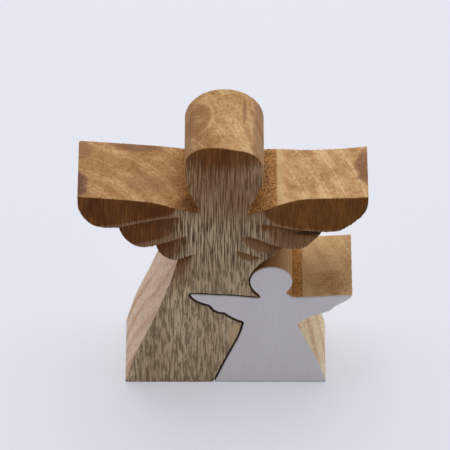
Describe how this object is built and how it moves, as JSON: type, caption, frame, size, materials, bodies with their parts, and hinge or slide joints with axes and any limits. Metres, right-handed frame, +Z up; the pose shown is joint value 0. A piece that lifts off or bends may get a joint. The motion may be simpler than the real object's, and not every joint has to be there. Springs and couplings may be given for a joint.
{
  "type": "wooden angel figurine",
  "caption": "Carved wooden guardian angel ornament with feathered wings and a blank head; a smaller white-fronted angel slides out of its skirt.",
  "frame": {"origin": "centre of the bounding box's underside, on the surface the ornament stands on", "axes": "+Z up the figure, +X to the right as seen from the front, +Y from the front to the back through the board's thickness"},
  "size_m": [0.1292, 0.04, 0.1476],
  "materials": {
    "large_angel_wood": "oiled hardwood, brushed and dry on the front",
    "small_angel_wood": "oiled hardwood, sanded",
    "small_angel_white": "white satin paint"
  },
  "bodies": {
    "large": {"large_angel": "large_angel_wood"},
    "small": {"small_angel": "small_angel_wood", "small_angel_paint": "small_angel_white"}
  },
  "joints": [
    {"name": "small_angel_slide", "type": "slide", "parent": "large", "child": "small", "axis": [0, -1, 0], "range_m": [-0.045, 0.045]}
  ]
}
